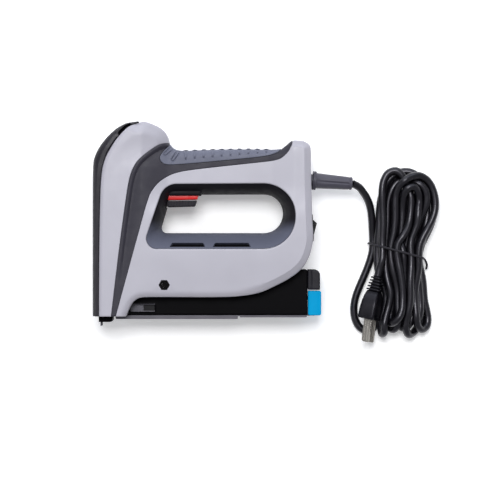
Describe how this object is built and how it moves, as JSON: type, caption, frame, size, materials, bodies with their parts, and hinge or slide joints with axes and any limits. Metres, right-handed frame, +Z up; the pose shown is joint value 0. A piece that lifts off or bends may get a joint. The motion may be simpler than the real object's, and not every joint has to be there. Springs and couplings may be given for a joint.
{
  "type": "electric stapler",
  "caption": "Corded electric stapler with a closed grip, trigger, solenoid driver, rear-loading magazine with a sliding rail and latch, and a hank of mains cord with plug.",
  "frame": {"origin": "bottom centre of the tool without its cord, on the table it lies on", "axes": "+X from the nose to the cord, +Y from the staple exit to the grip, +Z up through the tool's thickness; the tool lies on its side"},
  "size_m": [0.2712, 0.1731, 0.048],
  "materials": {
    "shell": "fine satin texture",
    "overmould": "soft matte",
    "grip": "ribbed soft matte",
    "bumper": "satin",
    "liner": "satin",
    "black_steel": "black, semi-gloss",
    "rail": "dark grey, satin",
    "dark_plastic": "satin",
    "steel": "plain",
    "copper": "enamelled wire",
    "nylon": "natural",
    "black_rubber": "matte",
    "board": "lacquered",
    "black_plastic": "satin",
    "boot": "satin",
    "cord": "glossy vinyl",
    "tie": "vinyl",
    "plug": "moulded vinyl",
    "nickel": "dull nickel plate",
    "red": "satin",
    "blue": "satin"
  },
  "bodies": {
    "housing": {"upper_shell": "shell", "lower_shell": "shell", "upper_overmould": "overmould", "lower_overmould": "overmould", "upper_grip_pad": "grip", "lower_grip_pad": "grip", "front_bumper": "bumper", "upper_liner": "liner", "lower_liner": "liner", "nose_guide": "black_steel", "magazine_body": "black_steel", "magazine_end_cap": "dark_plastic", "staple_strip": "steel", "coil": "copper", "bobbin": "nylon", "solenoid_frame": "steel", "plunger_bumper": "black_rubber", "control_board": "board", "capacitor": "black_plastic", "microswitch_body": "black_plastic", "rocker_housing": "black_plastic", "rocker_pin": "steel", "hex_nut": "black_steel", "through_bolt": "black_steel", "cord_boot": "boot", "cord_clamp": "nylon", "inner_lead": "cord", "trigger_pin": "steel", "cord_lead": "cord", "cord_plug_end": "cord", "cord_hank": "cord", "cord_tie": "tie", "plug_body": "plug", "plug_blade_1": "nickel", "plug_blade_2": "nickel", "trigger_spring": "steel", "return_spring": "steel", "housing_screw_1": "steel", "housing_screw_2": "steel", "housing_screw_3": "steel", "housing_screw_4": "steel", "housing_screw_5": "steel", "housing_screw_6": "steel"},
    "trigger": {"trigger": "red", "trigger_pad": "black_rubber"},
    "microswitch_button": {"microswitch_button": "nylon"},
    "rocker": {"rocker": "black_plastic"},
    "driver": {"plunger": "steel", "driver_blade": "steel", "fired_staple": "steel"},
    "magazine_slide": {"magazine_rail": "rail", "guide_rod": "steel", "latch_pin": "steel", "follower_spring": "steel", "latch_spring": "steel"},
    "follower": {"follower": "black_plastic"},
    "latch": {"latch": "blue"}
  },
  "joints": [
    {"name": "trigger_pivot", "type": "hinge", "parent": "housing", "child": "trigger", "pos_m": [-0.036, 0.027, 0.024], "axis": [0, 0, 1], "range_deg": [0, 8], "stiffness_Nm_per_rad": 0.8, "springref_deg": -4.58, "deforming": ["trigger_spring"]},
    {"name": "button_travel", "type": "slide", "parent": "housing", "child": "microswitch_button", "axis": [0, 1, 0], "range_m": [0, 0.0034]},
    {"name": "rocker_tilt", "type": "hinge", "parent": "housing", "child": "rocker", "pos_m": [0.0795, -0.0035, 0.024], "axis": [0, 0, 1], "range_deg": [0, 14]},
    {"name": "driver_stroke", "type": "slide", "parent": "housing", "child": "driver", "axis": [0, -1, 0], "range_m": [0, 0.014], "stiffness_N_per_m": 350, "springref_m": -0.006, "deforming": ["return_spring"]},
    {"name": "magazine_slide", "type": "slide", "parent": "housing", "child": "magazine_slide", "axis": [1, 0, 0], "range_m": [0, 0.021]},
    {"name": "follower_slide", "type": "slide", "parent": "magazine_slide", "child": "follower", "axis": [1, 0, 0], "range_m": [0, 0.04], "stiffness_N_per_m": 40, "springref_m": -0.06, "deforming": ["follower_spring"]},
    {"name": "latch_pivot", "type": "hinge", "parent": "magazine_slide", "child": "latch", "pos_m": [0.0818, -0.068, 0.024], "axis": [0, 0, -1], "range_deg": [0, 10], "stiffness_Nm_per_rad": 0.3, "springref_deg": -5.73, "deforming": ["latch_spring"]}
  ],
  "couplings": [
    {"joint": "button_travel", "follows": "trigger_pivot", "m_per_rad": 0.024}
  ]
}
